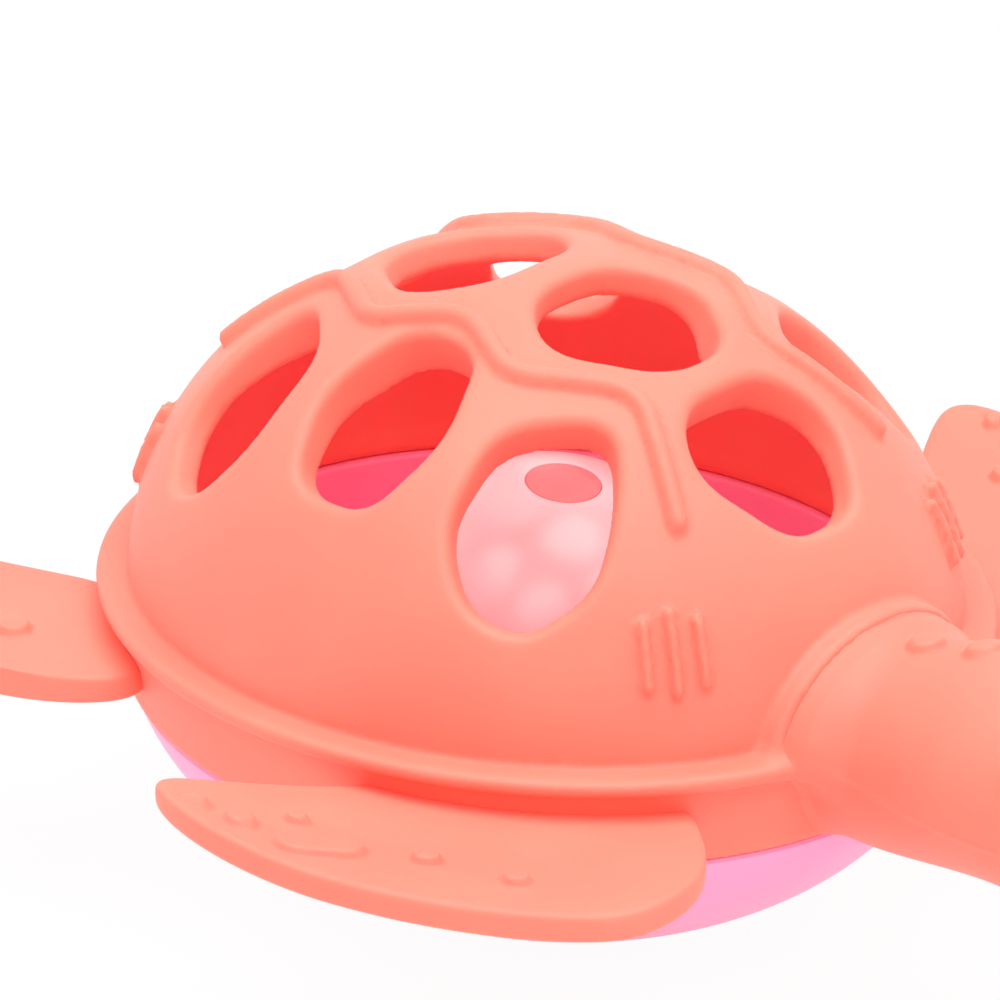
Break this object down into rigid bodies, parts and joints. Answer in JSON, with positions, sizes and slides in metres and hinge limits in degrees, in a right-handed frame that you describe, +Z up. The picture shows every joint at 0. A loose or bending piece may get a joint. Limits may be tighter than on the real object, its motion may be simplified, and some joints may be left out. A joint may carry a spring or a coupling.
{
  "type": "teething rattle",
  "caption": "Soft sea turtle teething rattle: an open domed shell with finger openings over a hard bowl, flexible head and flippers, and a loose rattle ball inside.",
  "frame": {"origin": "middle of the flat foot under the bowl", "axes": "+X the way the turtle heads, +Y its left, +Z up"},
  "size_m": [0.1514, 0.1386, 0.0725],
  "materials": {
    "soft_coral": "matt soft rubber",
    "bowl_pink": "smooth moulded",
    "ball_pale_pink": "smooth moulded",
    "plug_salmon": "satin",
    "bead_ivory": "satin",
    "eye_dark": "smooth"
  },
  "bodies": {
    "shell": {"carapace": "soft_coral", "bowl": "bowl_pink"},
    "head": {"head": "soft_coral", "eye_left": "eye_dark", "eye_right": "eye_dark"},
    "front_flipper_left": {"front_flipper_left": "soft_coral"},
    "front_flipper_right": {"front_flipper_right": "soft_coral"},
    "rear_flipper_left": {"rear_flipper_left": "soft_coral"},
    "rear_flipper_right": {"rear_flipper_right": "soft_coral"},
    "ball": {"ball_upper_half": "ball_pale_pink", "ball_lower_half": "ball_pale_pink", "ball_plug": "plug_salmon"},
    "bead_1": {"bead_1": "bead_ivory"},
    "bead_2": {"bead_2": "bead_ivory"},
    "bead_3": {"bead_3": "bead_ivory"},
    "bead_4": {"bead_4": "bead_ivory"},
    "bead_5": {"bead_5": "bead_ivory"},
    "bead_6": {"bead_6": "bead_ivory"}
  },
  "joints": [
    {"name": "head_nod", "type": "hinge", "parent": "shell", "child": "head", "pos_m": [0.0483, 0, 0.0335], "axis": [0, -1, 0], "range_deg": [-8, 8], "stiffness_Nm_per_rad": 0.8},
    {"name": "front_left_flex", "type": "hinge", "parent": "shell", "child": "front_flipper_left", "pos_m": [0.03062, 0.03554, 0.0284], "axis": [0.8243, -0.5661, 0], "range_deg": [-20, 20], "stiffness_Nm_per_rad": 0.07},
    {"name": "front_right_flex", "type": "hinge", "parent": "shell", "child": "front_flipper_right", "pos_m": [0.03062, -0.03554, 0.0284], "axis": [-0.8243, -0.5661, 0], "range_deg": [-20, 20], "stiffness_Nm_per_rad": 0.07},
    {"name": "rear_left_flex", "type": "hinge", "parent": "shell", "child": "rear_flipper_left", "pos_m": [-0.03247, 0.03526, 0.0284], "axis": [0.8073, 0.5902, 0], "range_deg": [-20, 20], "stiffness_Nm_per_rad": 0.05},
    {"name": "rear_right_flex", "type": "hinge", "parent": "shell", "child": "rear_flipper_right", "pos_m": [-0.03247, -0.03526, 0.0284], "axis": [-0.8073, 0.5902, 0], "range_deg": [-20, 20], "stiffness_Nm_per_rad": 0.05},
    {"name": "ball_roll", "type": "hinge", "parent": "shell", "child": "ball", "pos_m": [0, 0, 0.0881], "axis": [0, -1, 0], "range_deg": [-11, 11]},
    {"name": "bead_1_swing", "type": "hinge", "parent": "ball", "child": "bead_1", "pos_m": [0, 0, 0.0254], "axis": [0, -1, 0], "range_deg": [0, 50]},
    {"name": "bead_2_swing", "type": "hinge", "parent": "ball", "child": "bead_2", "pos_m": [0, 0, 0.0254], "axis": [0.866, -0.5, 0], "range_deg": [0, 50]},
    {"name": "bead_3_swing", "type": "hinge", "parent": "ball", "child": "bead_3", "pos_m": [0, 0, 0.0254], "axis": [0.866, 0.5, 0], "range_deg": [0, 50]},
    {"name": "bead_4_swing", "type": "hinge", "parent": "ball", "child": "bead_4", "pos_m": [0, 0, 0.0254], "axis": [0, 1, 0], "range_deg": [0, 50]},
    {"name": "bead_5_swing", "type": "hinge", "parent": "ball", "child": "bead_5", "pos_m": [0, 0, 0.0254], "axis": [-0.866, 0.5, 0], "range_deg": [0, 50]},
    {"name": "bead_6_swing", "type": "hinge", "parent": "ball", "child": "bead_6", "pos_m": [0, 0, 0.0254], "axis": [-0.866, -0.5, 0], "range_deg": [0, 50]}
  ]
}
